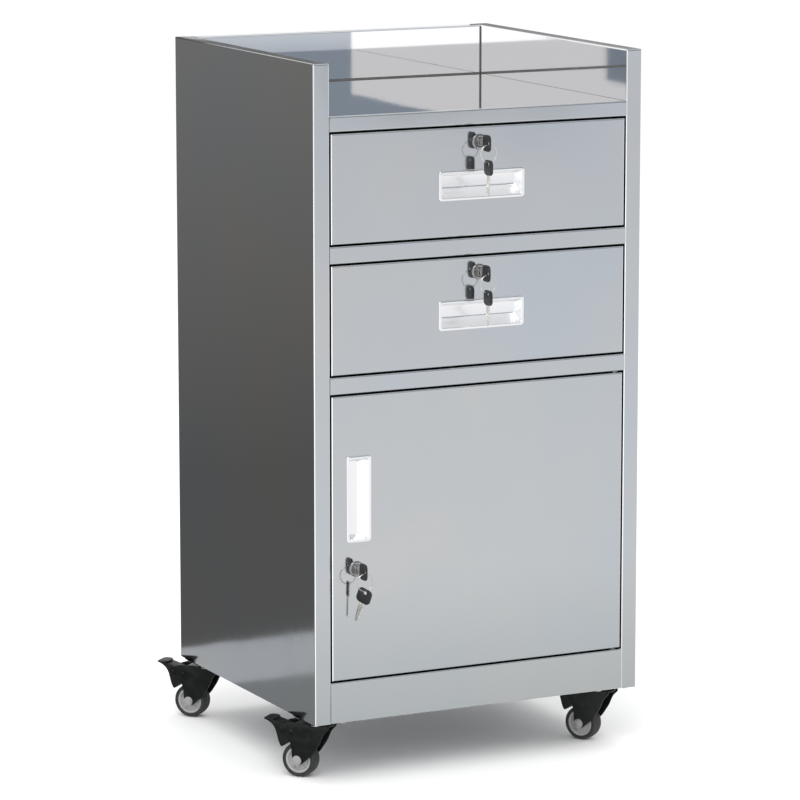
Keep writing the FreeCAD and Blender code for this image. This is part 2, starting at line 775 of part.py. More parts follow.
def make_door_bushes():
    """Flanged plain bushes that the door's pins turn in."""
    bore, radius = size("pin_radius") + BUSH["play"], size("bush_radius")
    flange, sleeve = BUSH["flange"], BUSH["sleeve"]
    bushes = []
    for flange_z, sleeve_z in ((divider_bottom - flange, divider_bottom), (plinth_top, plinth_top - sleeve)):
        solid = fuse([
            rod(radius + flange, flange, pivot_x, pivot_y, flange_z),
            rod(radius, sleeve, pivot_x, pivot_y, sleeve_z),
        ])
        bushes.append(drill(solid, [rod(bore, 4 * sleeve, pivot_x, pivot_y, flange_z - 2 * sleeve)]))
    keep("door_pivot_bushes", group(bushes))


# ---------------------------------------------------------------- castors

SWIVEL = {"race": 17, "race_bottom": 72, "kingpin": 4, "kingpin_head": 7, "head_height": 2.5,
          "head_bottom": 65.5, "crown": 17.5, "crown_top": 71.5, "crown_bottom": 68.5, "clearance": 0.1}
FORK = {"inside": 11.5, "outside": 13.5, "bridge_end": 30, "axle": 3, "cap": 6.5, "cap_height": 2.5}
WHEEL = {"bore": 3.1, "hub": 7, "hub_half": 11, "web_root": 7.6, "web_edge": 7, "dish": 13.5,
         "rim_inner": 14.5, "rim": 17, "rim_inset": 1}
TYRE = {"bead": 0.5, "wall_start": 1.5, "wall_end": 2.6, "shoulder": (0.7, 1.8), "tread_edge": 4.5}
PEDAL = {"pivot": (36, 59.5), "pin": 2.5, "half": 10.8, "tread_bottom": 71.4, "tread": 2.2}
# side view of the pedal, round from the pivot over the shoe to the tip of the tread and back
PEDAL_SIDE = [(31, 57), (36, 54), (40.2, 45.5), (46.2, 40.7), (49.6, 37.6), (52, 38.4), (55, 45), (57, 53),
              (59.5, 61), (64, 66.5), (70, 70.2), (75, 71.4), (75, 73.6), (62, 71.2), (50, 68), (42, 66.2),
              (32, 65.8), (30.8, 62)]
PEDAL_TREAD = [(60, 9), (66, 12.5), (72, 12.5), (75, 9.5)]
CASTORS = {"front_left": (-1, -1), "front_right": (1, -1), "rear_left": (-1, 1), "rear_right": (1, 1)}
CASTOR_HEADINGS = {"front_left": 130, "front_right": 122, "rear_left": 130, "rear_right": 57}


def make_castor_top():
    """Mounting plates with their swivel raceways, kingpins and screws."""
    plates, kingpins, screws = [], [], []
    half_x, half_y = size("plate_width") / 2, size("plate_length") / 2
    thread = PLATE_SCREW["radius"]
    for side, end in CASTORS.values():
        x, y = side * castor_x, end * castor_y
        flat = plate((x - half_x, x + half_x), (y - half_y, y + half_y), (plate_bottom, bottom))
        race = rod(SWIVEL["race"], plate_bottom - SWIVEL["race_bottom"], x, y, SWIVEL["race_bottom"])
        tools = [rod(SWIVEL["kingpin"], size("castor_height"), x, y, 0)]
        for across in (-1, 1):
            for along in (-1, 1):
                place = (x + across * PLATE_SCREW["across"], y + along * PLATE_SCREW["along"])
                tools.append(rod(thread, size("castor_height"), *place, 0))
                screws.append(fuse([
                    rod(PLATE_SCREW["head"], PLATE_SCREW["head_height"], *place,
                        plate_bottom - PLATE_SCREW["head_height"]),
                    rod(thread, PLATE_SCREW["length"], *place, plate_bottom),
                ]))
        plates.append(drill(fuse([flat, race]), tools))
        kingpins.append(fuse([
            rod(SWIVEL["kingpin"], bottom - SWIVEL["head_bottom"], x, y, SWIVEL["head_bottom"]),
            rod(SWIVEL["kingpin_head"], SWIVEL["head_height"], x, y, SWIVEL["head_bottom"]),
        ]))
    keep("castor_top_plates", group(plates))
    keep("castor_kingpins", group(kingpins))
    keep("castor_screws", group(screws))


def turned(label, thing, heading, x, y):
    """Place a castor piece made with its trail along +X."""
    keep(label, move(thing, x, y, 0, Rotation(Vector(0, 0, 1), heading)))


def make_fork():
    """Two V-shaped cheeks under a round crown, with the axle rivet as its own solid."""
    trail, axle_z = size("castor_trail"), size("wheel_radius")
    top_z, low_z = SWIVEL["crown_top"], SWIVEL["crown_bottom"]
    outside = FORK["outside"]
    body = new_body("fork")
    cheeks = draw(body, "XZ_Plane")
    polygon(cheeks, [(-15, top_z), (-16, low_z - 2), (-9, 60), (-3, 46), (7, 31),
                     (trail - 6, axle_z - 5), (trail, axle_z - 6.5), (trail + 5, axle_z - 4),
                     (trail + 7, axle_z + 5), (35.5, 38), (38.5, 49), (45, 55), (55, 59), (56, 66),
                     (40, top_z)])
    extrude(body, "Pad", cheeks, 2 * outside, both_ways=True)
    crown = circle(draw(body, "XY_Plane", top_z), 0, 0, SWIVEL["crown"])
    extrude(body, "Pad", crown, top_z - low_z, back_way=True)
    channel = draw(body, "XZ_Plane")
    bridge_end, clear_of_cheeks = FORK["bridge_end"], bottom
    polygon(channel, [(-bridge_end, low_z), (bridge_end, low_z), (bridge_end, clear_of_cheeks),
                      (2 * bridge_end, clear_of_cheeks), (2 * bridge_end, 0), (-bridge_end, 0)])
    extrude(body, "Pocket", channel, 2 * FORK["inside"], both_ways=True)
    bores = draw(body, "XZ_Plane")
    circle(bores, trail, axle_z, FORK["axle"])
    circle(bores, *PEDAL["pivot"], PEDAL["pin"] + SWIVEL["clearance"])
    extrude(body, "Pocket", bores, 3 * outside, both_ways=True)
    kingpin_hole = circle(draw(body, "XY_Plane", top_z), 0, 0, SWIVEL["kingpin"] + SWIVEL["clearance"])
    extrude(body, "Pocket", kingpin_hole, top_z - low_z)
    axle = fuse([
        rod(FORK["axle"], 2 * outside, trail, -outside, axle_z, "y"),
        rod(FORK["cap"], FORK["cap_height"], trail, -outside - FORK["cap_height"], axle_z, "y"),
        rod(FORK["cap"], FORK["cap_height"], trail, outside, axle_z, "y"),
    ])
    return group([body, axle])


def make_wheel_core():
    """Moulded wheel: long hub, thin web and a flat rim under the tyre."""
    trail, axle_z, half = size("castor_trail"), size("wheel_radius"), size("wheel_width") / 2
    body = new_body("wheel_core")
    side = [(WHEEL["bore"], -WHEEL["hub_half"]), (WHEEL["hub"], -WHEEL["hub_half"]),
            (WHEEL["hub"], -WHEEL["web_root"]), (WHEEL["dish"], -WHEEL["web_edge"]),
            (WHEEL["rim_inner"], WHEEL["rim_inset"] - half), (WHEEL["rim"], WHEEL["rim_inset"] - half)]
    other_side = [(radius, -place) for radius, place in reversed(side)]
    revolve(body, polygon(draw(body, "XY_Plane"), side + other_side))
    move(body, trail, 0, axle_z)
    return group([body])


def make_tyre():
    """Flat-sided rubber tyre with rounded shoulders."""
    trail, axle_z, half = size("castor_trail"), size("wheel_radius"), size("wheel_width") / 2
    body = new_body("tyre")
    rim, tread = WHEEL["rim"], size("wheel_radius")
    shoulder_in, shoulder_down = TYRE["shoulder"]
    side = [(rim, TYRE["bead"] - half), (rim + TYRE["wall_start"], -half), (tread - TYRE["wall_end"], -half),
            (tread - shoulder_in, shoulder_down - half), (tread, TYRE["tread_edge"] - half)]
    other_side = [(radius, -place) for radius, place in reversed(side)]
    revolve(body, polygon(draw(body, "XY_Plane"), side + other_side))
    move(body, trail, 0, axle_z)
    return group([body])


def make_brake_pedal():
    """Foot plate on a cross pin, with a curved shoe that comes down on the tyre."""
    body = new_body("brake_pedal")
    side_view = polygon(draw(body, "XZ_Plane"), PEDAL_SIDE)
    extrude(body, "Pad", side_view, 2 * PEDAL["half"], both_ways=True)
    plan = draw(body, "XY_Plane", PEDAL["tread_bottom"])
    polygon(plan, [(u, -v) for u, v in PEDAL_TREAD] + PEDAL_TREAD[::-1])
    extrude(body, "Pad", plan, PEDAL["tread"])
    pin = circle(draw(body, "XZ_Plane"), *PEDAL["pivot"], PEDAL["pin"])
    extrude(body, "Pad", pin, 2 * FORK["outside"], both_ways=True)
    return group([body])


def make_castors():
    make_castor_top()
    pieces = {"fork": make_fork, "wheel_core": make_wheel_core, "tyre": make_tyre,
              "brake_pedal": make_brake_pedal}
    for name, (side, end) in CASTORS.items():
        for piece, maker in pieces.items():
            turned(f"castor_{name}_{piece}", maker(), CASTOR_HEADINGS[name], side * castor_x, end * castor_y)


# ---------------------------------------------------------------- making

make_side_panels()
make_back_panel()
make_top_tray()
make_upper_rail()
make_divider_panel()
make_base_pan()
make_slide_uprights()
for drawer_name, drawer_level in DRAWERS.items():
    make_drawer(drawer_name, drawer_level)
make_slide_screws()
make_door()
make_door_bushes()
make_castors()
doc.recompute()

failed = [thing.Label for thing in doc.Objects if {"Invalid", "Error"} & set(thing.State)]
if failed:
    raise RuntimeError(f"objects that did not build: {failed}")
for label, thing in parts.items():
    if thing.Shape.isNull() or not thing.Shape.isValid():
        raise RuntimeError(f"{label} has no valid shape")

os.makedirs("parts", exist_ok=True)
for label, thing in parts.items():
    thing.Shape.exportStep(f"parts/{label}.step")
print(f"{len(parts)} sub-parts written")
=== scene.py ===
import json
import math
import bmesh
import bpy
from mathutils import Matrix, Vector


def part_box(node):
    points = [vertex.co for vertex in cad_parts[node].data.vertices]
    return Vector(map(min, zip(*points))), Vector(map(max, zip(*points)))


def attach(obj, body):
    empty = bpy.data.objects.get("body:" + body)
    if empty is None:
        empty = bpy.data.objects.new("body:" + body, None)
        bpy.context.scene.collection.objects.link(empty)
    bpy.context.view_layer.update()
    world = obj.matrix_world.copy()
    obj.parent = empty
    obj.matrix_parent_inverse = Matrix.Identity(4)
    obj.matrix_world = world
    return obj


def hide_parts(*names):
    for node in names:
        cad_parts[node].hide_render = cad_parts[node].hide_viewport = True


# Looks of the stainless steel bedside cabinet. Metres, +Z up, front towards -Y.
# The sheet metal, slides, cams and screws keep their CAD shape. Pulls, locks,
# keys, rings and castor parts are modelled here and stand for their CAD nodes.
# A bead of sealant is added along the seams of the tray.

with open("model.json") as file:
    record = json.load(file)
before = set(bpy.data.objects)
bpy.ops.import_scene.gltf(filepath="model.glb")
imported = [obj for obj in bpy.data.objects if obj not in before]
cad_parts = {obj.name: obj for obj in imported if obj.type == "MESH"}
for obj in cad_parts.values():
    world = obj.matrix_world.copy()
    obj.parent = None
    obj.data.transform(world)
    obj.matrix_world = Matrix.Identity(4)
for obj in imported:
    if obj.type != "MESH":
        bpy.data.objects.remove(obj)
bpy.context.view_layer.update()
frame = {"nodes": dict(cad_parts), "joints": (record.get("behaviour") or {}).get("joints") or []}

MM = 0.001
JOINTS = {joint["name"]: joint for joint in frame["joints"]}
SETS = {"upper": "upper_drawer", "lower": "lower_drawer", "door": "door"}
CASTORS = ("front_left", "front_right", "rear_left", "rear_right")


# ---------------------------------------------------------------- materials

STEEL = (0.49, 0.53, 0.57)
STEEL_WARM = (0.53, 0.545, 0.55)
# painted light: a brighter steel colour than the skin's, given only to the inside of the top tray
TRAY_PAINTED_LIGHT = (0.90, 0.90, 0.91)
# painted highlight: the near-white colour given to upright folds
FOLD_HIGHLIGHT = (0.94, 0.95, 0.96)
# inside of the top tray: half width, front, rear, and just below the floor
TRAY_HALF, TRAY_FRONT, TRAY_BACK, TRAY_FLOOR = 0.208, -0.208, 0.188, 0.838


class Surface:
    """A principled material with short ways to add pattern nodes."""

    def __init__(self, name, metallic, roughness, color):
        self.material = bpy.data.materials.new(name)
        self.material.use_nodes = True
        self.tree = self.material.node_tree
        self.shader = self.tree.nodes["Principled BSDF"]
        self.shader.inputs["Metallic"].default_value = metallic
        self.shader.inputs["Roughness"].default_value = roughness
        self.shader.inputs["Base Color"].default_value = (*color, 1)
        coordinates = self.add("ShaderNodeTexCoord")
        self.place, self.facing = coordinates.outputs["Object"], coordinates.outputs["Normal"]
        self.normal = None

    def add(self, kind, **settings):
        node = self.tree.nodes.new(kind)
        for key, value in settings.items():
            setattr(node, key, value)
        return node

    def link(self, source, target):
        self.tree.links.new(source, target)

    def noise(self, scale, stretch=(1, 1, 1), shift=0.0, detail=4, rough=0.55):
        """Noise in object space; stretch multiplies the frequency along each axis."""
        mapping = self.add("ShaderNodeMapping")
        mapping.inputs["Scale"].default_value = stretch
        mapping.inputs["Location"].default_value = (shift, shift * 0.7, shift * 1.3)
        self.link(self.place, mapping.inputs["Vector"])
        noise = self.add("ShaderNodeTexNoise")
        noise.inputs["Scale"].default_value = scale
        noise.inputs["Detail"].default_value = detail
        noise.inputs["Roughness"].default_value = rough
        self.link(mapping.outputs[0], noise.inputs["Vector"])
        return noise.outputs[0]

    def spread(self, value, low, high, to_low, to_high):
        """Map one range of a value onto another, clamped."""
        node = self.add("ShaderNodeMapRange", clamp=True)
        for key, number in (("From Min", low), ("From Max", high), ("To Min", to_low), ("To Max", to_high)):
            node.inputs[key].default_value = number
        self.link(value, node.inputs["Value"])
        return node.outputs[0]

    def math(self, operation, first, second):
        node = self.add("ShaderNodeMath", operation=operation)
        for socket, value in zip(node.inputs, (first, second)):
            if isinstance(value, (int, float)):
                socket.default_value = value
            else:
                self.link(value, socket)
        return node.outputs[0]

    def color_between(self, factor, first, second):
        """Blend two colours, each a constant or the output of a node."""
        node = self.add("ShaderNodeMix", data_type="RGBA")
        self.link(factor, node.inputs["Factor"])
        # the colour sockets come after the ones for numbers and vectors
        for socket, value in zip(node.inputs[6:8], (first, second)):
            if isinstance(value, tuple):
                socket.default_value = (*value, 1)
            else:
                self.link(value, socket)
        return node.outputs[2]

    def color(self, value):
        self.link(value, self.shader.inputs["Base Color"])

    def roughness(self, value):
        self.link(value, self.shader.inputs["Roughness"])

    def bump(self, height, strength, distance):
        """Add one layer of relief on top of the earlier ones."""
        node = self.add("ShaderNodeBump")
        node.inputs["Strength"].default_value = strength
        node.inputs["Distance"].default_value = distance
        self.link(height, node.inputs["Height"])
        if self.normal:
            self.link(self.normal, node.inputs["Normal"])
        self.normal = node.outputs[0]
        self.link(self.normal, self.shader.inputs["Normal"])


def polished_steel(name, color, warm, roughness, grain, shift, wave=1.0, painted_tray_light=None):
    """Polished sheet: hairlines along the grain, slow waves, smears and a painted highlight on the upright
    folds.

    With painted_tray_light given, the walls and floor of the top tray are smoother and take that brighter
    colour, which is painted light.
    """
    steel = Surface(name, 1.0, roughness, color)
    tone = steel.noise(3.2, shift=shift, detail=3)
    shade = steel.color_between(steel.spread(tone, 0.35, 0.65, 0, 1), color, warm)
    inside = in_tray(steel) if painted_tray_light else None
    # painted light: the inside of the tray takes the brighter colour, while the same sheets outside it keep
    # the plain steel
    if painted_tray_light:
        shade = steel.color_between(inside, shade, painted_tray_light)
    # painted highlight: upright folds take a near-white colour
    shade = steel.color_between(fold_highlight_mask(steel), shade, FOLD_HIGHLIGHT)
    steel.color(shade)
    fine = {"x": (0.02, 1, 1), "y": (1, 0.02, 1), "z": (1, 1, 0.02)}[grain]
    hair = steel.noise(900, fine, shift, detail=2)
    smear = steel.noise(7.5, (1, 1, 0.6), shift + 3.1, detail=5, rough=0.62)
    film = steel.spread(smear, 0.48, 0.72, 0, 0.07)
    streak = steel.spread(hair, 0.3, 0.7, -0.02, 0.03)
    dull = steel.math("ADD", steel.math("ADD", film, streak), roughness)
    if painted_tray_light:
        dull = steel.math("MULTIPLY", dull, steel.spread(inside, 0, 1, 1, 0.3))
    steel.roughness(dull)
    waves = steel.noise(5.5, (1, 1, 0.8), shift + 8.0, detail=1)
    if painted_tray_light:
        waves = steel.math("MULTIPLY", waves, steel.spread(inside, 0, 1, 1, 0.25))
    steel.bump(waves, 0.5 * wave, 0.002)
    steel.bump(hair, 0.08, 0.00005)
    return steel.material


def in_tray(steel):
    """1 on the surfaces inside the top tray, 0 on the rest of the carcass."""
    split = steel.add("ShaderNodeSeparateXYZ")
    steel.link(steel.place, split.inputs[0])
    x, y, z = split.outputs
    limits = [
        (steel.math("ABSOLUTE", x, 0), TRAY_HALF),
        (y, TRAY_BACK),
        (steel.math("MULTIPLY", y, -1), -TRAY_FRONT),
        (steel.math("MULTIPLY", z, -1), -TRAY_FLOOR),
    ]
    share, near, far = 1.0, 0.4 * MM, 1.2 * MM
    for place, limit in limits:
        share = steel.math("MULTIPLY", steel.spread(place, limit + near, limit + far, 1, 0), share)
    return share


def fold_highlight_mask(steel):
    """Where the painted highlight goes: 1 on upright folds, 0 on the flat faces, which all face along an
    axis.
    """
    split = steel.add("ShaderNodeSeparateXYZ")
    steel.link(steel.facing, split.inputs[0])
    x, y, z = (steel.math("ABSOLUTE", value, 0) for value in split.outputs)
    folded, flat = 0.88, 0.97
    upright, leaning = 0.1, 0.3
    turned = steel.spread(steel.math("MAXIMUM", x, y), folded, flat, 1, 0)
    return steel.math("MULTIPLY", turned, steel.spread(z, upright, leaning, 1, 0))


def plain_steel(name, color, roughness):
    """Mill-finish or plated steel: cloudy spangle and dull patches."""
    steel = Surface(name, 1.0, roughness, color)
    cloud = steel.noise(60, detail=5)
    darker = tuple(channel * 0.82 for channel in color)
    steel.color(steel.color_between(steel.spread(cloud, 0.35, 0.7, 0, 1), color, darker))
    steel.roughness(steel.spread(steel.noise(25, shift=2), 0.3, 0.7, roughness - 0.06, roughness + 0.1))
    steel.bump(steel.noise(700, detail=2), 0.15, 0.00005)
    return steel.material


def moulded(name, color, dusty, roughness, grain_scale, relief, shine=0.5):
    """Moulded plastic, rubber or black coating: fine texture and a little dust."""
    surface = Surface(name, 0.0, roughness, color)
    surface.shader.inputs["Specular IOR Level"].default_value = shine
    dust = surface.noise(90, shift=4, detail=6, rough=0.65)
    surface.color(surface.color_between(surface.spread(dust, 0.5, 0.75, 0, 1), color, dusty))
    surface.roughness(surface.spread(dust, 0.3, 0.75, roughness, roughness + 0.2))
    surface.bump(surface.noise(grain_scale, detail=3), relief, 0.0001)
    return surface.material


LOOKS = {
    "skin": polished_steel("steel_skin", STEEL, STEEL_WARM, 0.09, "z", 0.0, painted_tray_light=TRAY_PAINTED_LIGHT),
    "tray": polished_steel("steel_tray", STEEL, STEEL_WARM, 0.09, "x", 5.0, painted_tray_light=TRAY_PAINTED_LIGHT),
    "front_upper": polished_steel("steel_front_upper", STEEL, STEEL_WARM, 0.10, "x", 11.0),
    "front_lower": polished_steel("steel_front_lower", STEEL, STEEL_WARM, 0.10, "x", 17.0),
    "front_door": polished_steel("steel_front_door", STEEL, STEEL_WARM, 0.10, "x", 23.0),
    "inner": plain_steel("steel_inner", (0.56, 0.57, 0.58), 0.32),
    "slide": plain_steel("steel_slide", (0.62, 0.63, 0.64), 0.28),
    "zinc": plain_steel("steel_zinc", (0.66, 0.66, 0.65), 0.30),
    "pull": polished_steel("steel_pull", (0.88, 0.89, 0.91), (0.90, 0.90, 0.91), 0.22, "x", 31.0, 0.3),
    "chrome": plain_steel("chrome_lock", (0.38, 0.38, 0.385), 0.2),
    "nickel": plain_steel("nickel_key", (0.72, 0.71, 0.68), 0.2),
    "bow": moulded("plastic_bow", (0.008, 0.008, 0.009), (0.03, 0.03, 0.032), 0.35, 1500, 0.2),
    "castor": moulded("castor_black", (0.004, 0.005, 0.005), (0.014, 0.015, 0.014), 0.24, 900, 0.25, 0.3),
    "cap": moulded("cap_grey", (0.30, 0.30, 0.30), (0.2, 0.2, 0.195), 0.4, 900, 0.2),
    "pedal": moulded("pedal_black", (0.006, 0.007, 0.007), (0.018, 0.018, 0.017), 0.36, 1400, 0.4, 0.3),
    "wheel": moulded("wheel_grey", (0.36, 0.36, 0.36), (0.24, 0.24, 0.235), 0.42, 1100, 0.3),
    "tyre": moulded("tyre_rubber", (0.02, 0.021, 0.022), (0.06, 0.06, 0.058), 0.6, 1800, 0.5),
    "nylon": moulded("nylon", (0.10, 0.10, 0.10), (0.07, 0.07, 0.068), 0.45, 900, 0.2),
    "sealant": moulded("sealant_grey", (0.06, 0.058, 0.056), (0.10, 0.10, 0.095), 0.5, 700, 0.4),
}


# ---------------------------------------------------------------- mesh tools

CREASE_ANGLE = 35
WELD_REACH = 1e-7
UPRIGHT = Matrix.Rotation(math.radians(90), 4, "X")


def finish_piece(piece, material, body, replaced=()):
    """Material, ride and the CAD nodes that the piece stands for."""
    piece.data.materials.clear()
    piece.data.materials.append(material)
    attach(piece, body)
    if replaced:
        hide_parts(*replaced)


def object_from(name, mesh):
    piece = bpy.data.objects.new(name, mesh)
    bpy.context.scene.collection.objects.link(piece)
    return piece


def crease(mesh, angle=CREASE_ANGLE):
    """Smooth faces, with sharp edges where they turn by more than the angle in degrees."""
    mesh.shade_smooth()
    mesh.set_sharp_from_angle(angle=math.radians(angle))


def weld(mesh):
    """Join doubled points and turn every face outwards."""
    shell = bmesh.new()
    shell.from_mesh(mesh)
    bmesh.ops.remove_doubles(shell, verts=shell.verts, dist=WELD_REACH)
    bmesh.ops.recalc_face_normals(shell, faces=shell.faces)
    shell.to_mesh(mesh)
    shell.free()


def mesh_of(name, points, faces, angle=CREASE_ANGLE):
    """A mesh object with smooth faces and creases above the given angle."""
    mesh = bpy.data.meshes.new(name)
    mesh.from_pydata([tuple(point) for point in points], [], faces)
    weld(mesh)
    crease(mesh, angle)
    return object_from(name, mesh)


def mesh_from_curve(name, curve):
    """Turn a curve into a mesh and delete the curve."""
    holder = object_from(name + "_curve", curve)
    bpy.context.view_layer.update()
    mesh = bpy.data.meshes.new_from_object(holder.evaluated_get(bpy.context.evaluated_depsgraph_get()))
    bpy.data.objects.remove(holder)
    bpy.data.curves.remove(curve)
    mesh.name = name
    return mesh


def merge(name, pieces):
    """Join several mesh objects into one."""
    shell = bmesh.new()
    for piece in pieces:
        part = piece.data
        part.transform(piece.matrix_world)
        shell.from_mesh(part)
        bpy.data.objects.remove(piece)
    mesh = bpy.data.meshes.new(name)
    shell.to_mesh(mesh)
    shell.free()
    crease(mesh)
    return object_from(name, mesh)


def ring_faces(rings, count):
    """Quads between neighbouring closed rings of points."""
    faces = []
    for ring in range(rings - 1):
        low, high = ring * count, (ring + 1) * count
        for step in range(count):
            after = (step + 1) % count
            faces.append((low + step, low + after, high + after, high + step))
    return faces


def lathe(name, profile, steps, turn):
    """Turn (radius, height) points round +Z; a radius of 0 closes an end."""
    points = []
    for radius, height in profile:
        for step in range(steps):
            angle = 2 * math.pi * step / steps
            points.append(turn @ Vector((radius * math.cos(angle), radius * math.sin(angle), height)))
    return mesh_of(name, points, ring_faces(len(profile), steps))


def plate(name, outlines, thickness, bevel, turn=Matrix.Identity(4)):
    """A flat plate in XY, centred on z = 0, from its outline and any holes."""
    curve = bpy.data.curves.new(name, "CURVE")
    curve.dimensions = "2D"
    curve.fill_mode = "BOTH"
    for outline in outlines:
        spline = curve.splines.new("POLY")
        spline.points.add(len(outline) - 1)
        for point, (u, v) in zip(spline.points, outline):
            point.co = (u, v, 0, 1)
        spline.use_cyclic_u = True
    curve.extrude = thickness / 2 - bevel
    curve.bevel_depth = bevel
    curve.bevel_resolution = 3
    curve.offset = -bevel
    mesh = mesh_from_curve(name, curve)
    weld(mesh)
    mesh.transform(turn)
    crease(mesh)
    return object_from(name, mesh)


def arc(u, v, radius, start, end, steps):
    """Points of an arc, angles in degrees."""
    spread = [math.radians(start + (end - start) * step / steps) for step in range(steps + 1)]
    return [(u + radius * math.cos(angle), v + radius * math.sin(angle)) for angle in spread]


def rounded(corners, radius):
    """A closed outline with its corners rounded by quadratic curves."""
    outline, steps = [], 6
    count = len(corners)
    for index, corner in enumerate(corners):
        corner = Vector(corner)
        before = Vector(corners[index - 1])
        after = Vector(corners[(index + 1) % count])
        reach_in = min(radius, (before - corner).length * 0.45)
        reach_out = min(radius, (after - corner).length * 0.45)
        start = corner + (before - corner).normalized() * reach_in
        end = corner + (after - corner).normalized() * reach_out
        for step in range(steps + 1):
            share = step / steps
            point = start * (1 - share) ** 2 + corner * 2 * share * (1 - share) + end * share ** 2
            outline.append((point.x, point.y))
    return outline


def circle(u, v, radius, steps=32):
    """Points of a circle, from +U round towards +V."""
    return arc(u, v, radius, 0, 360 - 360 / steps, steps - 1)


def in_mm(points):
    """The same points, given in millimetres."""
    return [(u * MM, v * MM) for u, v in points]


def shift(x=0.0, y=0.0, z=0.0):
    return Matrix.Translation((x, y, z))


# ---------------------------------------------------------------- sheet metal

SKINS = {
    "left_side_panel": "skin", "right_side_panel": "skin", "back_panel": "skin", "top_tray": "tray",
    "upper_rail": "skin", "divider_panel": "skin", "base_pan": "skin", "upper_drawer_front": "front_upper",
    "lower_drawer_front": "front_lower", "door_panel": "front_door",
}
OTHER_NODES = {
    "drawer_box": "inner", "slide_uprights": "inner", "stiffener": "inner", "slide_outers": "slide",
    "slide_mids": "slide", "slide_inners": "slide", "lock_housing": "chrome", "lock_plug": "chrome",
    "lock_cam": "zinc", "pivot_pins": "zinc", "kingpins": "zinc", "screws": "zinc", "bushes": "nylon",
    "top_plates": "castor", "fork": "castor", "wheel_core": "wheel", "tyre": "tyre", "brake_pedal": "pedal",
    "pull": "pull", "key": "nickel",
}


def dress_cad_nodes():
    """Give every CAD node the material of its name, or of the first word found in it."""
    for name, node in frame["nodes"].items():
        chosen = SKINS.get(name)
        for word, material in OTHER_NODES.items():
            if not chosen and word in name:
                chosen = material
        node.data.materials.clear()
        node.data.materials.append(LOOKS[chosen])


# ---------------------------------------------------------------- tray seams

def seam(name, start, end, first, second, radius):
    """A bead of sealant along an inside corner, with a hollow face and rounded ends."""
    start, end, first, second = (Vector(value) for value in (start, end, first, second))
    along = (end - start).normalized()
    points, steps = [], 6
    # each ring: its place along the bead and its share of the radius
    rings = [(0.0, 0.35), (0.6 * MM, 0.8), (2 * MM, 1.0)]
    length = (end - start).length
    rings += [(length - place, scale) for place, scale in reversed(rings)]
    for place, scale in rings:
        centre = start + along * place
        points.append(centre)
        for step in range(steps + 1):
            angle = math.radians(90 * step / steps)
            u, v = 1 - math.sin(angle), 1 - math.cos(angle)
            points.append(centre + (first * u + second * v) * radius * scale)
    count = steps + 2
    faces = ring_faces(len(rings), count)
    faces.append(tuple(range(count)))
    faces.append(tuple((len(rings) - 1) * count + step for step in range(count)))
    return mesh_of(name, points, faces)


def make_tray_seams():
    """Dark beads where the tray floor meets its walls and in the two rear corners."""
    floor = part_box("top_tray")[1].z
    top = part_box("back_panel")[1].z - 1 * MM
    half, rear, front = TRAY_HALF, TRAY_BACK, TRAY_FRONT + 1 * MM
    back_radius, corner_radius, side_radius = 1.8 * MM, 1.7 * MM, 0.25 * MM
    up, forward = (0, 0, 1), (0, -1, 0)
    pieces = [seam("back_seam", (-half, rear, floor), (half, rear, floor), forward, up, back_radius)]
    for side in (-1, 1):
        inward, foot = (-side, 0, 0), (side * half, rear, floor)
        pieces.append(seam("corner_seam", foot, (side * half, rear, top), inward, forward, corner_radius))
        pieces.append(seam("side_seam", (side * half, front, floor), foot, inward, up, side_radius))
    finish_piece(merge("tray_seams", pieces), LOOKS["sealant"], "root")


# ---------------------------------------------------------------- pulls

def rounded_ring(half_u, half_v, radius):
    """Points of a rounded rectangle, the same count whatever its size."""
    ring, steps = [], 7
    for quarter, (side_u, side_v) in enumerate(((1, 1), (-1, 1), (-1, -1), (1, -1))):
        ring += arc(side_u * (half_u - radius), side_v * (half_v - radius), radius,
                    90 * quarter, 90 * quarter + 90, steps)
    return ring


def make_pull(name, node, body):
    """Pressed dish: rolled rim, three steep walls and one long slope."""
    low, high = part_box(node)
    centre = (low + high) / 2
    half_x, half_z = (high.x - low.x) / 2, (high.z - low.z) / 2
    upright = half_z > half_x
    depth = high.y - low.y - 1.2 * MM
    rim, slope, long_slope = 4 * MM, 4 * MM, 11 * MM
    # each step: share of the rim crossed, share of the wall crossed, share of the depth
    steps = [
        (0.0, 0, 0.0), (0.02, 0, 0.0), (0.12, 0, 0.0), (0.82, 0, 0.0), (0.93, 0, 0.012), (1.0, 0.01, 0.05),
        (1.0, 0.05, 0.12), (1.0, 0.45, 0.50), (1.0, 0.86, 0.88), (1.0, 0.95, 0.965), (1.0, 1.04, 0.995),
        (1.0, 1.12, 1.0),
    ]
    # the first two steps start behind the rim's face and round its outer edge
    edge = {0: 1.0 * MM, 1: 0.35 * MM}
    loops = []
    for index, (over_rim, over_wall, down) in enumerate(steps):
        inset = rim * over_rim + slope * over_wall
        extra = (long_slope - slope) * over_wall
        radius = 4 * MM - 1.2 * MM * over_rim
        y = low.y + edge.get(index, depth * down)
        ring = rounded_ring(half_x - inset - (extra / 2 if upright else 0),
                            half_z - inset - (0 if upright else extra / 2), radius)
        move_x = -extra / 2 if upright else 0
        move_z = 0 if upright else extra / 2
        loops.append([(centre.x + u + move_x, y, centre.z + v + move_z) for u, v in ring])
    count = len(loops[0])
    points = [point for loop in loops for point in loop]
    faces = ring_faces(len(loops), count)
    faces.append(tuple((len(loops) - 1) * count + step for step in range(count)))
    piece = mesh_of(name, points, faces, 60)
    solid = piece.modifiers.new("sheet", "SOLIDIFY")
    solid.thickness = 0.8 * MM
    solid.offset = -1 if facing_front(piece) else 1
    finish_piece(piece, LOOKS["pull"], body, [node])


def facing_front(piece):
    """True where the last face, the dish's floor, looks towards -Y."""
    return piece.data.polygons[-1].normal.y < 0


# ---------------------------------------------------------------- keys

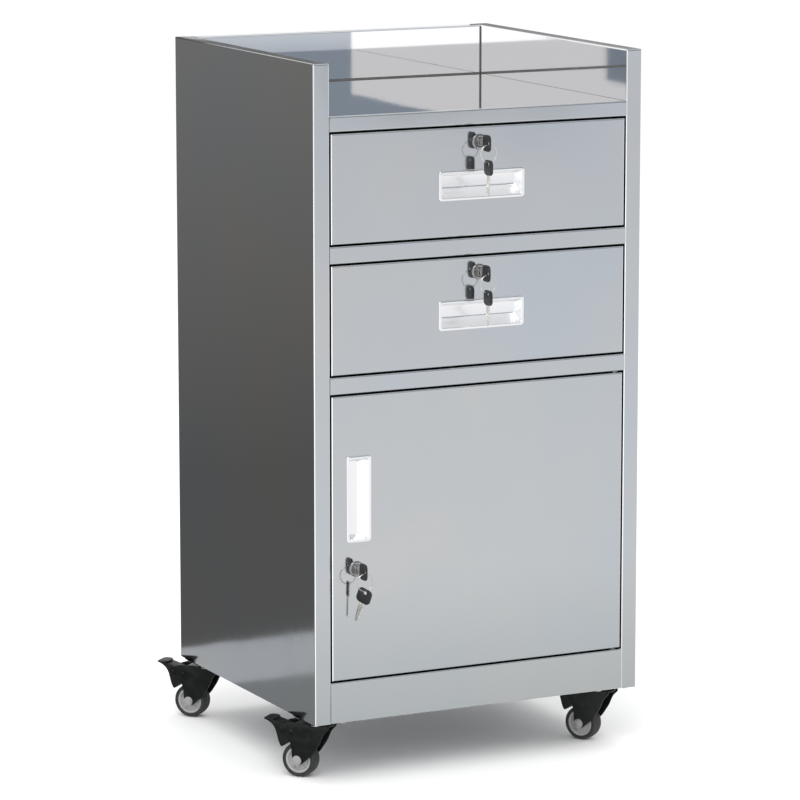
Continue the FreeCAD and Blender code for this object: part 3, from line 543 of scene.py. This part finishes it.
BOW_LENGTH, BOW_HALF, BOW_THICKNESS = 19 * MM, 10.3 * MM, 3 * MM
HOLE_PLACE, HOLE_RADIUS, BLADE_REACH = 14.2 * MM, 3 * MM, 26 * MM
RING_RADIUS, RING_WIRE, RING_DROP = 11 * MM, 0.42 * MM, 12.5 * MM
# how each spare key hangs: degrees turned about the vertical and degrees swung off it
SPARE_TURNS = {"upper": (0, 0), "lower": (0, 0), "door": (30, 20)}


def key_pieces(name, turn):
    """A blade and its moulded bow, lying in XY with the blade along +X, then placed."""
    end = -BOW_LENGTH
    cut = 3 * MM
    bow_corners = [(0, -6.4 * MM), (-cut, -BOW_HALF), (end + cut, -BOW_HALF), (end, -7 * MM),
                   (end, 7 * MM), (end + cut, BOW_HALF), (-cut, BOW_HALF), (0, 6.4 * MM)]
    bow_shape = rounded(bow_corners, 3 * MM)
    hole = circle(-HOLE_PLACE, 0, HOLE_RADIUS - 0.3 * MM)
    bow = plate(name + "_bow", [bow_shape, hole], BOW_THICKNESS - 0.5 * MM, 0.6 * MM)
    pad_shape = rounded(in_mm([(-2.5, -7.6), (-9.6, -8), (-9.6, 8), (-2.5, 7.6)]), 1.6 * MM)
    pad = plate(name + "_pad", [pad_shape], BOW_THICKNESS, 0.25 * MM)
    bow = merge(name + "_bow", [bow, pad])
    teeth = [
        (0, -3.6), (6, -3.6), (7, -2.2), (8.4, -2.2), (9.6, -3.2), (11, -1.6), (12.6, -1.6), (13.8, -2.8),
        (15.4, -2.8), (16.6, -1.2), (18.4, -1.2), (19.6, -2.6), (22.6, -2.4), (BLADE_REACH / MM, 0.6),
        (25.6, 2.0), (24, 3.6), (0, 3.6),
    ]
    blade = plate(name + "_blade", [in_mm(teeth)], 1.2 * MM, 0.15 * MM)
    spine = rounded(in_mm([(0, 0.4), (22.5, 0.4), (24, 1.6), (22.5, 3.2), (0, 3.2)]), 0.5 * MM)
    rib = plate(name + "_rib", [spine], 2.0 * MM, 0.2 * MM)
    blade = merge(name + "_blade", [blade, rib])
    for piece in (bow, blade):
        piece.data.transform(turn)
    return bow, blade


def make_key_set(name):
    """The key in the lock, its split ring and the spare that hangs from it."""
    node, ring_node = f"{name}_key", f"{name}_key_ring"
    low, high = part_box(node)
    centre = (low + high) / 2
    bow_end = low.y + BOW_LENGTH
    into_lock = Matrix.Rotation(math.radians(90), 4, "Z") @ Matrix.Rotation(math.radians(90), 4, "X")
    bow, blade = key_pieces(f"{name}_key", shift(centre.x, bow_end, centre.z) @ into_lock)
    finish_piece(bow, LOOKS["bow"], f"{name}_lock", [node])
    finish_piece(blade, LOOKS["nickel"], f"{name}_lock")

    hole = Vector((centre.x, bow_end - HOLE_PLACE, centre.z))
    ring_centre = hole - Vector((0, 0, RING_DROP))
    ring = split_ring(f"{name}_split_ring", ring_centre, RING_RADIUS, RING_WIRE)
    hang = f"{name}_key_ring_hang"
    finish_piece(ring, LOOKS["nickel"], hang, [ring_node])

    spare_hole = ring_centre - Vector((0, 0, RING_RADIUS + HOLE_RADIUS - 1.1 * MM))
    yaw, lean = SPARE_TURNS[name]
    placed = (Matrix.Translation(spare_hole) @ Matrix.Rotation(math.radians(yaw), 4, "Z")
              @ Matrix.Rotation(math.radians(lean - 90), 4, "X") @ shift(0, HOLE_PLACE, 0) @ into_lock)
    bow, blade = key_pieces(f"{name}_spare_key", placed)
    finish_piece(bow, LOOKS["bow"], hang)
    finish_piece(blade, LOOKS["nickel"], hang)


def split_ring(name, centre, radius, wire):
    """Two flat coils of wire joined by a short step, in the XZ plane."""
    curve = bpy.data.curves.new(name, "CURVE")
    curve.dimensions = "3D"
    spline = curve.splines.new("POLY")
    turns, steps = 2, 48
    count = turns * steps
    spline.points.add(count - 1)
    start_angle, step_from, step_over = 0.6, count * 0.42, count * 0.16
    for index, point in enumerate(spline.points):
        angle = 2 * math.pi * index / steps + start_angle
        stepped = min(1.0, max(0.0, (index - step_from) / step_over))
        across = (stepped - 0.5) * 2 * wire * 0.95
        point.co = (radius * math.cos(angle), across, radius * math.sin(angle), 1)
    curve.bevel_depth = wire
    curve.bevel_resolution = 3
    curve.use_fill_caps = True
    mesh = mesh_from_curve(name, curve)
    mesh.transform(Matrix.Translation(centre))
    crease(mesh, 50)
    return object_from(name, mesh)


# ---------------------------------------------------------------- locks

def make_lock(name):
    """Flanged barrel with its nut, and the turning plug with its keyway and tail."""
    housing, plug = f"{name}_lock_housing", f"{name}_lock_plug"
    low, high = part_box(housing)
    centre = Vector(((low.x + high.x) / 2, low.y + 2 * MM, (low.z + high.z) / 2))
    inwards = Matrix.Translation(centre) @ Matrix.Rotation(math.radians(-90), 4, "X")
    shell = [(5.6, -1.1), (6.1, -1.75), (6.8, -1.95), (8.6, -1.9), (9.5, -1.5), (9.95, -0.7), (10, 0), (8, 0),
             (8, 17.4), (5.6, 17.4), (5.6, -1.1)]
    barrel = lathe(housing + "_turned", in_mm(shell), 64, inwards)
    nut_outlines = [circle(0, 0, 11.9 * MM, 6), circle(0, 0, 8.05 * MM, 40)]
    nut = plate(housing + "_nut", nut_outlines, 4 * MM, 0.5 * MM, inwards @ shift(z=3.2 * MM))
    turned = merge(housing + "_set", [barrel, nut])
    finish_piece(turned, LOOKS["chrome"], SETS[name], [housing])
    keyway = rounded(in_mm([(-1.1, -4), (1.1, -4), (1.1, 4), (-1.1, 4)]), 0.3 * MM)
    core_outlines = [circle(0, 0, 5.4 * MM, 48), keyway]
    core = plate(plug + "_core", core_outlines, 20.6 * MM, 0.35 * MM, inwards @ shift(z=8.1 * MM))
    tail = lathe(plug + "_tail", in_mm([(0, 18.4), (3.4, 18.4), (3.4, 20.8), (3, 21), (0, 21)]), 32, inwards)
    turning = merge(plug + "_set", [core, tail])
    finish_piece(turning, LOOKS["chrome"], f"{name}_lock", [plug])


# ---------------------------------------------------------------- castors

def castor_frame(name):
    """Matrix that places a castor built with its trail along +X and the floor at z = 0."""
    swivel = Vector(JOINTS[f"castor_{name}_swivel_turn"]["pos_m"])
    wheel = Vector(JOINTS[f"castor_{name}_wheel_roll"]["pos_m"])
    heading = math.atan2(wheel.y - swivel.y, wheel.x - swivel.x)
    trail = math.hypot(wheel.x - swivel.x, wheel.y - swivel.y)
    return shift(swivel.x, swivel.y) @ Matrix.Rotation(heading, 4, "Z"), trail, wheel.z


def fork_pieces(name, trail, axle):
    """Pressed fork: two V-shaped cheeks, a round crown with a bridge, and rivets."""
    reach, height = trail / MM, axle / MM
    cheek = [
        (-15, 71.4), (-16.4, 66.5), (-9, 60), (-3, 46), (7, 31),
        (reach - 6, height - 5), (reach, height - 6.5), (reach + 5, height - 4), (reach + 7, height + 5),
        (35.5, 38), (38.5, 49), (45, 55), (55, 59), (56, 66), (40, 71.4),
    ]
    cheek_shape = rounded(in_mm(cheek), 4 * MM)
    pieces = []
    for side in (-1, 1):
        pieces.append(plate(name, [cheek_shape], 2 * MM, 0.5 * MM, shift(0, side * 12.5 * MM) @ UPRIGHT))
        outwards = Matrix.Rotation(math.radians(-90 * side), 4, "X")
        for u, v, radius in ((36, 59.5, 3.6), (50.5, 62, 2.6)):
            dome = [(0, 1.4), (radius * 0.5, 1.25), (radius * 0.85, 0.8), (radius, 0)]
            rivet = dome + [(radius, -0.4), (0, -0.4)]
            pieces.append(lathe(name, in_mm(rivet), 24, shift(u * MM, side * 13.5 * MM, v * MM) @ outwards))
    pieces.append(plate(name, [circle(0, 0, 17.4 * MM, 48)], 3 * MM, 0.9 * MM, shift(z=70 * MM)))
    bridge = rounded(in_mm([(-14, -13.4), (30, -13.4), (30, 13.4), (-14, 13.4)]), 2 * MM)
    pieces.append(plate(name, [bridge], 2.4 * MM, 0.6 * MM, shift(z=70 * MM)))
    return merge(name, pieces)


def axle_pieces(name, trail, axle):
    """Axle rivet with a broad domed head outside each cheek."""
    head = in_mm([(0, 2.4), (3.6, 2.3), (5.2, 1.8), (6.2, 0.9), (6.4, 0), (0, 0)])
    shank = in_mm([(0, -13.5), (3, -13.5), (3, 13.5), (0, 13.5)])
    pieces = [lathe(name, shank, 24, shift(trail, 0, axle) @ UPRIGHT)]
    for side in (-1, 1):
        outwards = Matrix.Rotation(math.radians(-90 * side), 4, "X")
        pieces.append(lathe(name, head, 40, shift(trail, side * 13.5 * MM, axle) @ outwards))
    return merge(name, pieces)


def core_pieces(name, trail, axle):
    """Grey moulded wheel: hub, dished web, ribs and rim."""
    turn = shift(trail, 0, axle) @ UPRIGHT
    side = [
        (3.1, -11), (6.4, -11), (7, -10.4), (7.2, -8.2), (8, -7.6), (12.4, -7.1), (13.3, -7.1), (13.9, -8.6),
        (14.5, -9), (17, -9),
    ]
    profile = side + [(radius, -place) for radius, place in reversed(side)]
    pieces = [lathe(name, in_mm(profile + [side[0]]), 64, turn)]
    rib_shape = rounded(in_mm([(6.6, -1.1), (13.2, -0.9), (13.2, 0.9), (6.6, 1.1)]), 0.3 * MM)
    for step in range(5):
        spin = Matrix.Rotation(math.radians(72 * step + 15), 4, "Z")
        pieces.append(plate(name, [rib_shape], 17.2 * MM, 0.4 * MM, turn @ spin))
    return merge(name, pieces)


def tyre_piece(name, trail, axle):
    """Rounded tread with a shallow groove either side of the crown."""
    half = 10
    section = [(17, -half + 0.6), (17.8, -half + 0.15), (18.8, -half), (19.8, -half + 0.1)]
    section += [(19.8 + u, -half + 2.3 + v) for u, v in arc(0, 0, 2.2, -90, -12, 6)]
    section += [(22.3, -4.4), (22.45, -3.2), (22.1, -3.0), (22.1, -2.6), (22.45, -2.4), (22.5, 0)]
    section += [(u, -v) for u, v in reversed(section[:-1])]
    return lathe(name, in_mm(section + [section[0]]), 96, shift(trail, 0, axle) @ UPRIGHT)


def pedal_piece(name):
    """Moulded brake pedal: body with a curved shoe, wide ribbed tread and cross pin."""
    side = [
        (31, 57), (36, 54), (40.2, 45.5), (46.2, 40.7), (49.6, 37.6), (52, 38.4), (55, 45), (57, 53),
        (59.5, 61), (64, 66.5), (70, 70.2), (75, 71.5), (75, 73.5), (62, 71.1), (50, 67.9), (42, 66.1),
        (32, 65.7), (30.8, 62),
    ]
    pieces = [plate(name, [rounded(in_mm(side), 3 * MM)], 21.4 * MM, 0.7 * MM, UPRIGHT)]
    tread = [(60, -9), (66, -12.5), (72, -12.5), (75, -9.5), (75, 9.5), (72, 12.5), (66, 12.5), (60, 9)]
    pieces.append(plate(name, [rounded(in_mm(tread), 3 * MM)], 2.1 * MM, 0.8 * MM, shift(z=72.45 * MM)))
    rib = rounded(in_mm([(-0.6, -9), (0.6, -9), (0.6, 9), (-0.6, 9)]), 0.5 * MM)
    first_rib, rib_pitch, rib_count = 64.5, 2.6, 4
    for step in range(rib_count):
        place = shift((first_rib + rib_pitch * step) * MM, 0, 73.1 * MM)
        pieces.append(plate(name, [rib], 0.9 * MM, 0.3 * MM, place))
    pin = in_mm([(0, -13.4), (2.4, -13.4), (2.4, 13.4), (0, 13.4)])
    pieces.append(lathe(name, pin, 24, shift(36 * MM, 0, 59.5 * MM) @ UPRIGHT))
    return merge(name, pieces)


def make_castor(name):
    """One castor's visible pieces, each with its material, ride and replaced nodes; the slot listed for each
    is not used.
    """
    placed, trail, axle = castor_frame(name)
    base = f"castor_{name}"
    fork = fork_pieces(f"{base}_pressed_fork", trail, axle)
    ends = axle_pieces(f"{base}_axle", trail, axle)
    core = core_pieces(f"{base}_wheel", trail, axle)
    tyre = tyre_piece(f"{base}_tread", trail, axle)
    pedal = pedal_piece(f"{base}_pedal")
    made = [
        (fork, "castor", "swivel", "castor_black", [f"{base}_fork"]),
        (ends, "cap", "swivel", "castor_black", []),
        (core, "wheel", "wheel", "wheel_plastic", [f"{base}_wheel_core"]),
        (tyre, "tyre", "wheel", "tyre_rubber", [f"{base}_tyre"]),
        (pedal, "pedal", "brake", "pedal_plastic", [f"{base}_brake_pedal"]),
    ]
    for piece, material, body, slot, replaced in made:
        piece.data.transform(placed)
        finish_piece(piece, LOOKS[material], f"{base}_{body}", replaced)


# ---------------------------------------------------------------- stage

# Y of the dark wall behind on the left, and of the line where the floor before it turns lighter
DARK_WALL, WALL_STEP = 0.552, 0.327


def glow(name, low, high, axis, low_at, high_at):
    """Card material that shines with a colour blended between two places along an axis."""
    card = Surface(name, 0.0, 1.0, (0, 0, 0))
    card.shader.inputs["Specular IOR Level"].default_value = 0.0
    split = card.add("ShaderNodeSeparateXYZ")
    card.link(card.place, split.inputs[0])
    share = card.spread(split.outputs[axis], low_at, high_at, 0, 1)
    card.link(card.color_between(share, low, high), card.shader.inputs["Emission Color"])
    card.shader.inputs["Emission Strength"].default_value = 1.0
    card.material.cycles.emission_sampling = "NONE"
    return card.material


def reflection_card(name, corners, low, high=None, axis="Z", low_at=0.0, high_at=1.0):
    """A card that only shows in reflections, of one colour or blended from low to high."""
    card = mesh_of(name, corners, [(0, 1, 2, 3)])
    card.data.materials.append(glow(name, low, high or low, axis, low_at, high_at))
    for kind in ("camera", "diffuse", "shadow", "transmission", "volume_scatter"):
        setattr(card, f"visible_{kind}", False)


def flat_card(name, x, y, z, *colors):
    """A level card over a span of x and of y."""
    reflection_card(name, [(x[0], y[0], z), (x[1], y[0], z), (x[1], y[1], z), (x[0], y[1], z)], *colors)


def wall_card(name, x, y, z, *colors):
    """A card facing along Y, over a span of x and of z."""
    reflection_card(name, [(x[0], y, z[0]), (x[1], y, z[0]), (x[1], y, z[1]), (x[0], y, z[1])], *colors)


def make_floor():
    floor_paint = Surface("pale_floor", 0.0, 0.9, (0.91, 0.91, 0.91))
    floor_paint.shader.inputs["Specular IOR Level"].default_value = 0.0
    floor = mesh_of("floor", [(-20, -20, 0), (20, -20, 0), (20, 20, 0), (-20, 20, 0)], [(0, 1, 2, 3)])
    floor.data.materials.append(floor_paint.material)


def make_floor_cards():
    """What the upright faces reflect. Higher cards hide the lower ones they overlap."""
    low, middle, high = 0.4 * MM, 0.8 * MM, 1.2 * MM
    white, grey = (1.04, 1.03, 1.03), (0.78, 0.79, 0.78)
    dull, bright = (0.62, 0.63, 0.64), (0.95, 0.95, 0.96)
    flat_card("near_floor", (-5, 5), (-1.3, -0.24), low, white, grey, "Y", -1.2, -0.3)
    flat_card("far_floor", (-9, 9), (-9, -1.3), low, (0.90, 0.90, 0.93), white, "Y", -6, -1.3)
    flat_card("right_floor", (0.3, 7), (-0.24, 5), low, dull, bright, "X", 0.4, 3.5)
    flat_card("rear_floor", (-0.23, 0.3), (0.3, 7), low, dull, bright, "Y", 0.4, 3.5)
    flat_card("side_floor", (-3, -0.235), (WALL_STEP, DARK_WALL), middle, (0.6, 0.6, 0.61))
    flat_card("side_shade", (-3, -0.235), (-0.28, WALL_STEP), middle, (0.3, 0.305, 0.3))
    strip = [(-0.32, -0.25, high), (-0.45, -0.40, high), (-6, -5.2, high), (-6, -1.5, high)]
    reflection_card("left_strip", strip, (1.6, 1.6, 1.6))


def make_wall_cards():
    """A dark wall behind on the left, a pale and blue room in front, and a ceiling."""
    wall_card("dark_wall", (-6, -0.24), DARK_WALL, (0, 2.2), (0.139, 0.133, 0.128), (0.252, 0.242, 0.233),
              "Z", 0.25, 0.85)
    flat_card("ceiling", (-8, 8), (-8, 8), 5, (0.78, 0.79, 0.80))
    wall_card("blue_low", (1.11, 1.62), -2.9, (0.545, 0.85), (0.36, 0.40, 0.46), (0.56, 0.60, 0.64),
              "Z", 0.545, 0.60)
    blue = [(0.3, -3.2, 0.85), (3.6, -2.2, 0.85), (3.6, -2.2, 2.4), (0.3, -3.2, 2.4)]
    reflection_card("blue_high", blue, (0.227, 0.267, 0.309))
    wall_card("front_wall", (-4.5, -0.5), -3.4, (0.87, 2.4), (0.70, 0.69, 0.69))
    wall_card("front_low", (-1.85, -1.2), -3.4, (0.47, 0.6), (1.24, 1.24, 1.25))


def make_rim_cards():
    """Dark slips just behind the cabinet, which its top edges reflect."""
    rear, top, inner_foot = 0.3, 0.99, 0.943
    for name, x, outer_foot, tone in (("rear_left", (-0.28, 0.06), 0.905, 0.14),
                                      ("rear_right", (0.25, 0.56), 0.908, 0.30)):
        slip = [(x[0], rear, outer_foot), (x[1], rear, inner_foot), (x[1], rear, top), (x[0], rear, top)]
        reflection_card(name, slip, (tone, tone, tone))


def area_light(name, place, aim, size, power):
    data = bpy.data.lights.new(name, "AREA")
    data.shape = "RECTANGLE"
    data.size, data.size_y = size
    data.energy = power
    lamp = bpy.data.objects.new(name, data)
    lamp.location = place
    lamp.rotation_euler = (Vector(aim) - Vector(place)).to_track_quat("-Z", "Y").to_euler()
    bpy.context.scene.collection.objects.link(lamp)
    return lamp


def make_lights():
    """White surroundings, a key light and a top light that no surface mirrors."""
    scene = bpy.context.scene
    world = bpy.data.worlds.new("studio")
    scene.world = world
    world.use_nodes = True
    world.node_tree.nodes["Background"].inputs["Color"].default_value = (1, 1, 1, 1)
    world.node_tree.nodes["Background"].inputs["Strength"].default_value = 1.12
    aim = (0, 0, 0.5)
    area_light("key", (-1.6, -2.4, 3.2), aim, (2.2, 2.2), 60)
    top = area_light("top", (0.4, 0.3, 3.6), aim, (3.0, 3.0), 40)
    top.visible_glossy = False
    scene.view_settings.view_transform = "Standard"


def make_camera():
    """The photograph's view: azimuth, elevation, distance and what it looks at."""
    azimuth, elevation, distance = math.radians(-26.55), math.radians(10.09), 5.440
    focus = Vector((-0.0069, 0.0, 0.4419))
    back = Vector((math.sin(azimuth) * math.cos(elevation), -math.cos(azimuth) * math.cos(elevation),
                   math.sin(elevation)))
    data = bpy.data.cameras.new("view")
    data.sensor_width = 36
    data.lens = 188.1
    data.clip_end = 100
    camera = bpy.data.objects.new("view", data)
    camera.location = focus + back * distance
    camera.rotation_euler = (-back).to_track_quat("-Z", "Y").to_euler()
    bpy.context.scene.collection.objects.link(camera)
    bpy.context.scene.camera = camera


make_camera()
dress_cad_nodes()
make_tray_seams()
for set_name, set_body in SETS.items():
    make_pull(f"{set_name}_pull_dish", f"{set_body}_pull", set_body)
    make_lock(set_name)
    make_key_set(set_name)
for castor in CASTORS:
    make_castor(castor)
make_floor()
make_floor_cards()
make_wall_cards()
make_rim_cards()
make_lights()
